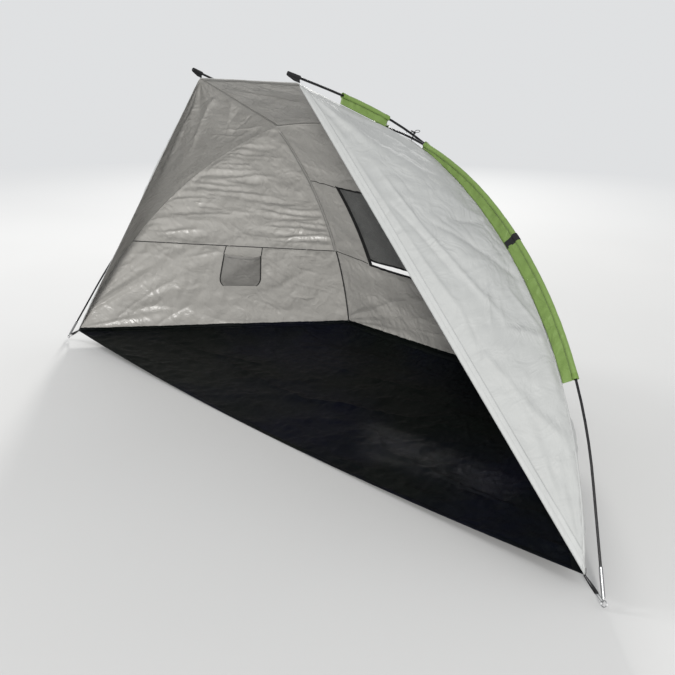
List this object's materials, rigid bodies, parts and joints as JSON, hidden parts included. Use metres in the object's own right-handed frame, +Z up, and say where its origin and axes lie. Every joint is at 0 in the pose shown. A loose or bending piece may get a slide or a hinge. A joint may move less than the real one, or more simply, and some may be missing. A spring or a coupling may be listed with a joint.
{
  "type": "beach shelter",
  "caption": "Pitched open-front beach shelter: grey fabric cover on crossed fibreglass poles, green pole sleeves, rear window with lifting mesh screen, black groundsheet.",
  "frame": {"origin": "on the ground, under the middle of the groundsheet", "axes": "+X to the viewer's right along the open front, +Y from the open front to the rear wall, +Z up"},
  "size_m": [2.8538, 1.1981, 1.2836],
  "materials": {
    "cover_fabric": "silver-grey coated polyester",
    "groundsheet_film": "black woven polyethylene film",
    "sleeve_green": "green polyester",
    "webbing_black": "black polypropylene webbing and cord",
    "screen_mesh": "dark knitted mesh",
    "fibreglass_black": "black fibreglass rod",
    "steel": "zinc-plated steel",
    "elastic_white": "braided elastic cord"
  },
  "bodies": {
    "shelter": {"corner_strap_front_left": "webbing_black", "corner_strap_front_right": "webbing_black", "corner_strap_rear_left": "webbing_black", "corner_strap_rear_right": "webbing_black", "crown_sleeve": "sleeve_green", "groundsheet": "groundsheet_film", "hoop_pole_section_1": "fibreglass_black", "hoop_pole_section_2": "fibreglass_black", "hoop_pole_section_3": "fibreglass_black", "hoop_pole_section_4": "fibreglass_black", "hoop_pole_section_5": "fibreglass_black", "hoop_pole_section_6": "fibreglass_black", "hoop_pole_shock_cord": "elastic_white", "left_eave_pole_section_1": "fibreglass_black", "left_eave_pole_section_2": "fibreglass_black", "left_eave_pole_section_3": "fibreglass_black", "left_eave_pole_shock_cord": "elastic_white", "left_eave_sleeve": "sleeve_green", "left_eave_tip_pocket": "webbing_black", "left_guy_band": "webbing_black", "left_hoop_sleeve": "sleeve_green", "left_junction_tie": "webbing_black", "left_rear_sleeve": "sleeve_green", "left_side_wall_lower": "cover_fabric", "left_side_wall_upper": "cover_fabric", "left_wing_panel": "cover_fabric", "pole_end_ferrule_front_left": "steel", "pole_end_ferrule_front_right": "steel", "pole_end_ferrule_rear_left": "steel", "pole_end_ferrule_rear_right": "steel", "rear_wall_beside_window_left": "cover_fabric", "rear_wall_beside_window_right": "cover_fabric", "rear_wall_lower": "cover_fabric", "rear_wall_upper": "cover_fabric", "right_eave_pole_section_1": "fibreglass_black", "right_eave_pole_section_2": "fibreglass_black", "right_eave_pole_section_3": "fibreglass_black", "right_eave_pole_shock_cord": "elastic_white", "right_eave_sleeve": "sleeve_green", "right_eave_tip_pocket": "webbing_black", "right_guy_band": "webbing_black", "right_hoop_sleeve": "sleeve_green", "right_junction_tie": "webbing_black", "right_rear_sleeve": "sleeve_green", "right_side_wall_lower": "cover_fabric", "right_side_wall_upper": "cover_fabric", "right_wing_panel": "cover_fabric", "roof_panel": "cover_fabric", "wall_pocket": "cover_fabric", "window_binding": "webbing_black"},
    "window_screen": {"window_screen": "screen_mesh"},
    "corner_pin_front_left": {"corner_pin_front_left": "steel", "link_ring_front_left": "steel"},
    "corner_pin_front_right": {"corner_pin_front_right": "steel", "link_ring_front_right": "steel"},
    "corner_pin_rear_left": {"corner_pin_rear_left": "steel", "link_ring_rear_left": "steel"},
    "corner_pin_rear_right": {"corner_pin_rear_right": "steel", "link_ring_rear_right": "steel"}
  },
  "joints": [
    {"name": "window_screen_lift", "type": "hinge", "parent": "shelter", "child": "window_screen", "pos_m": [0, 0.13023, 0.81322], "axis": [1, 0, 0], "range_deg": [0, 120]},
    {"name": "corner_pin_front_left_pull", "type": "slide", "parent": "shelter", "child": "corner_pin_front_left", "axis": [-0.3979, -0.3451, -0.8501], "range_m": [0, 0.04], "deforming": ["corner_strap_front_left"]},
    {"name": "corner_pin_front_right_pull", "type": "slide", "parent": "shelter", "child": "corner_pin_front_right", "axis": [0.3979, -0.3451, -0.8501], "range_m": [0, 0.04], "deforming": ["corner_strap_front_right"]},
    {"name": "corner_pin_rear_left_pull", "type": "slide", "parent": "shelter", "child": "corner_pin_rear_left", "axis": [-0.0783, 0.2309, -0.9698], "range_m": [0, 0.04], "deforming": ["corner_strap_rear_left"]},
    {"name": "corner_pin_rear_right_pull", "type": "slide", "parent": "shelter", "child": "corner_pin_rear_right", "axis": [0.0783, 0.2309, -0.9698], "range_m": [0, 0.04], "deforming": ["corner_strap_rear_right"]}
  ]
}
